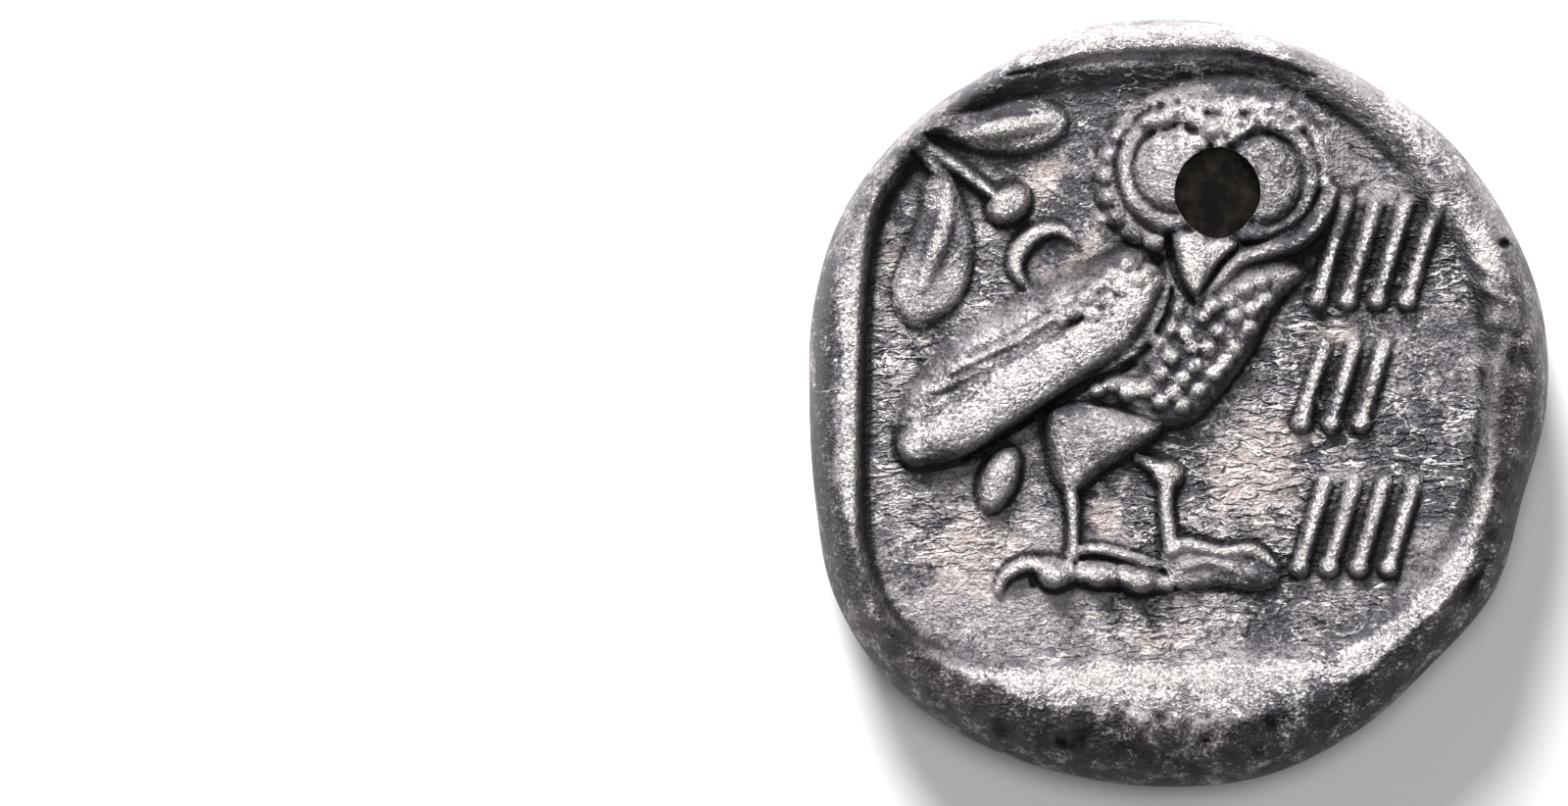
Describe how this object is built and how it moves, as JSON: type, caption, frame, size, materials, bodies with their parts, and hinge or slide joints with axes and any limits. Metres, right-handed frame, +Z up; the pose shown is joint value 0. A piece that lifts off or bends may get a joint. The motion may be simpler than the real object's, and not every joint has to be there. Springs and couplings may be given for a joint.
{
  "type": "tetradrachm coin",
  "caption": "Thick hand-struck silver coin with an owl in a sunk square, a helmeted head on the other side and a drilled blind hole.",
  "frame": {"origin": "middle of the underside of the coin's bounding box, on the surface that the coin lies on", "axes": "+Z up out of the owl side, +Y towards the top of the owl's head, +X to the right of the owl"},
  "size_m": [0.0236, 0.0244, 0.0054],
  "materials": {
    "silver": "old silver, worn bright on the high points, with dark grey-purple toning in the fields and hollows"
  },
  "bodies": {
    "root": {"coin": "silver"}
  },
  "joints": []
}
